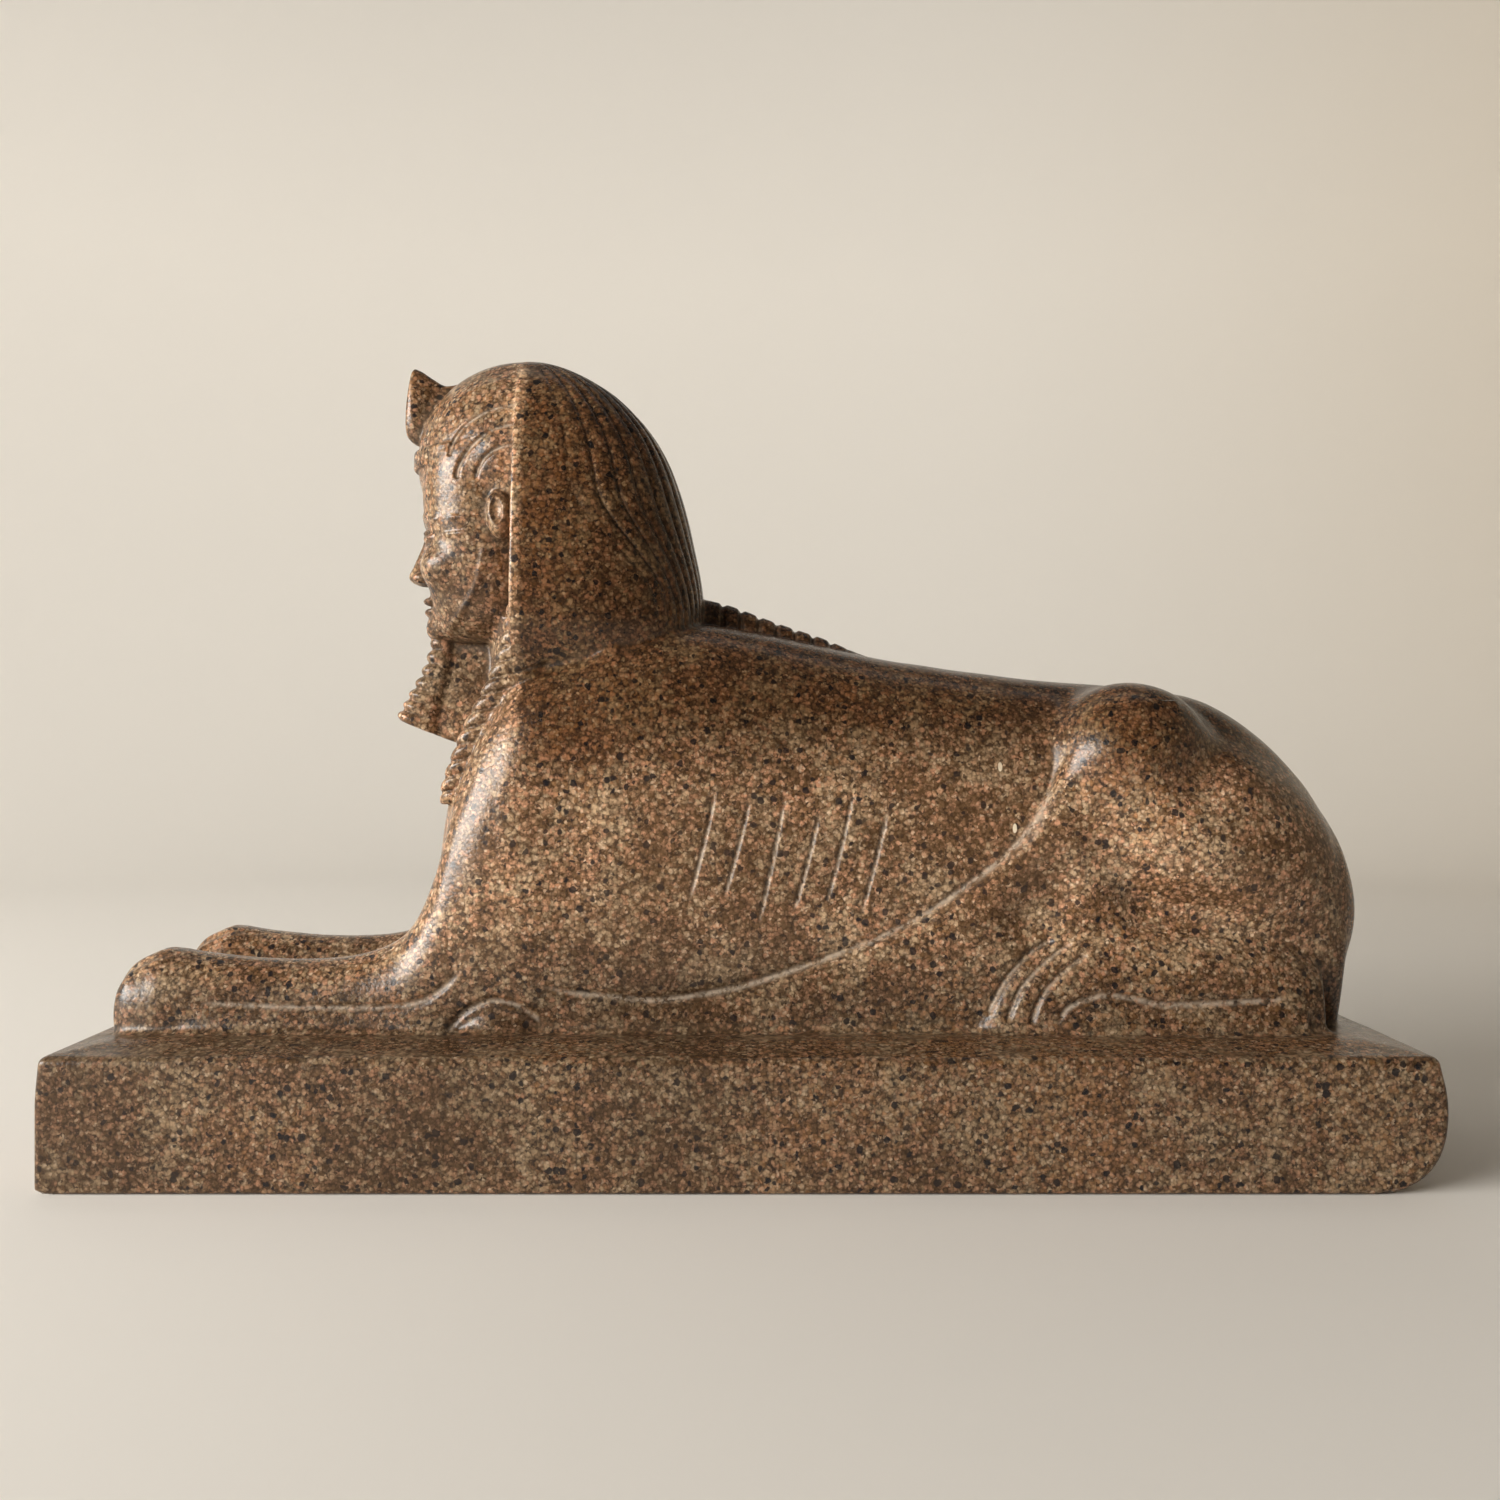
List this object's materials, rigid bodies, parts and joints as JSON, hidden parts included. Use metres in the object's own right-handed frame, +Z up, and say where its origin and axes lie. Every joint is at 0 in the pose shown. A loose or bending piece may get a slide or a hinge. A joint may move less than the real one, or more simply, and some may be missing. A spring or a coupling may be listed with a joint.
{
  "type": "sphinx statue",
  "caption": "Crouching lion with a king's head in a pleated headcloth, carved in one block with its rectangular plinth.",
  "frame": {"origin": "middle of the plinth's underside, on the surface that the statue stands on", "axes": "+Z up, +X from the paws to the rump along the plinth, so the head looks along -X, and +Y towards the figure's right side"},
  "size_m": [0.452, 0.15, 0.284],
  "materials": {
    "granite": "polished speckled granite, in browns, orange and pinkish tan with black and pale grains"
  },
  "bodies": {
    "root": {"sphinx": "granite"}
  },
  "joints": []
}
